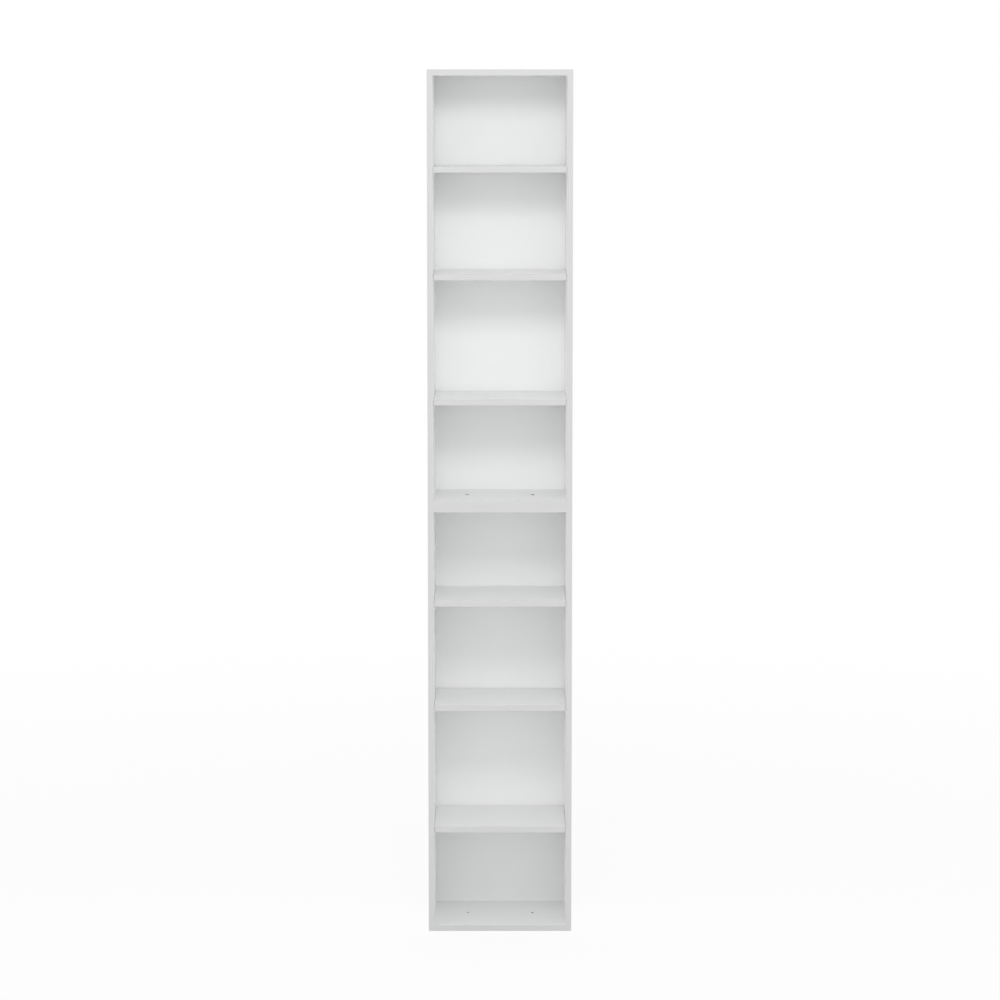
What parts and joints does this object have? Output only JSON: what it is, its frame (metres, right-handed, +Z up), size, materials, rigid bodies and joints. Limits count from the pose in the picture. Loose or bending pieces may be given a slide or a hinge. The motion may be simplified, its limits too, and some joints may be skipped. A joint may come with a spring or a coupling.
{
  "type": "bookcase",
  "caption": "Tall narrow open bookcase: stacked box units with loose shelves on supports and a grooved back panel, for storing books, binders and boxes.",
  "frame": {"origin": "on the floor, under the middle of the case", "axes": "+X to the right across the front, +Y from the open front to the back, +Z up"},
  "size_m": [0.4, 0.3, 2.4],
  "materials": {
    "white_board": "white melamine foil on chipboard, satin, fine grain",
    "edge_band": "white plastic edge band, satin, rounded edges",
    "back_sheet": "hardboard, white lacquer on the front, bare brown on the rear",
    "shelf_support": "white moulded plastic",
    "zinc_fitting": "die-cast zinc, dull",
    "steel_fitting": "zinc-plated steel",
    "dark_fitting": "burnished steel, dark, satin",
    "dowel_wood": "plain beech, fluted"
  },
  "bodies": {
    "carcass": {"lower_left_side": "white_board", "lower_left_side_band": "edge_band", "lower_right_side": "white_board", "lower_right_side_band": "edge_band", "lower_bottom_panel": "white_board", "lower_bottom_panel_band": "edge_band", "lower_top_panel": "white_board", "lower_top_panel_band": "edge_band", "lower_back_panel": "back_sheet", "lower_shelf_1_supports": "shelf_support", "lower_shelf_2_supports": "shelf_support", "lower_shelf_3_supports": "shelf_support", "lower_cam_locks": "zinc_fitting", "lower_cam_bolts": "steel_fitting", "lower_dowels": "dowel_wood", "upper_left_side": "white_board", "upper_left_side_band": "edge_band", "upper_right_side": "white_board", "upper_right_side_band": "edge_band", "upper_bottom_panel": "white_board", "upper_bottom_panel_band": "edge_band", "upper_top_panel": "white_board", "upper_top_panel_band": "edge_band", "upper_back_panel": "back_sheet", "upper_shelf_1_supports": "shelf_support", "upper_shelf_2_supports": "shelf_support", "upper_shelf_3_supports": "shelf_support", "upper_cam_locks": "zinc_fitting", "upper_cam_bolts": "steel_fitting", "upper_dowels": "dowel_wood", "stacking_bolts": "dark_fitting", "stacking_nuts": "dark_fitting"},
    "lower_shelf_1": {"lower_shelf_1": "white_board", "lower_shelf_1_band": "edge_band"},
    "lower_shelf_2": {"lower_shelf_2": "white_board", "lower_shelf_2_band": "edge_band"},
    "lower_shelf_3": {"lower_shelf_3": "white_board", "lower_shelf_3_band": "edge_band"},
    "upper_shelf_1": {"upper_shelf_1": "white_board", "upper_shelf_1_band": "edge_band"},
    "upper_shelf_2": {"upper_shelf_2": "white_board", "upper_shelf_2_band": "edge_band"},
    "upper_shelf_3": {"upper_shelf_3": "white_board", "upper_shelf_3_band": "edge_band"}
  },
  "joints": [
    {"name": "lower_shelf_1_slide", "type": "slide", "parent": "carcass", "child": "lower_shelf_1", "axis": [0, -1, 0], "range_m": [0, 0.29]},
    {"name": "lower_shelf_2_slide", "type": "slide", "parent": "carcass", "child": "lower_shelf_2", "axis": [0, -1, 0], "range_m": [0, 0.29]},
    {"name": "lower_shelf_3_slide", "type": "slide", "parent": "carcass", "child": "lower_shelf_3", "axis": [0, -1, 0], "range_m": [0, 0.29]},
    {"name": "upper_shelf_1_slide", "type": "slide", "parent": "carcass", "child": "upper_shelf_1", "axis": [0, -1, 0], "range_m": [0, 0.29]},
    {"name": "upper_shelf_2_slide", "type": "slide", "parent": "carcass", "child": "upper_shelf_2", "axis": [0, -1, 0], "range_m": [0, 0.29]},
    {"name": "upper_shelf_3_slide", "type": "slide", "parent": "carcass", "child": "upper_shelf_3", "axis": [0, -1, 0], "range_m": [0, 0.29]}
  ]
}
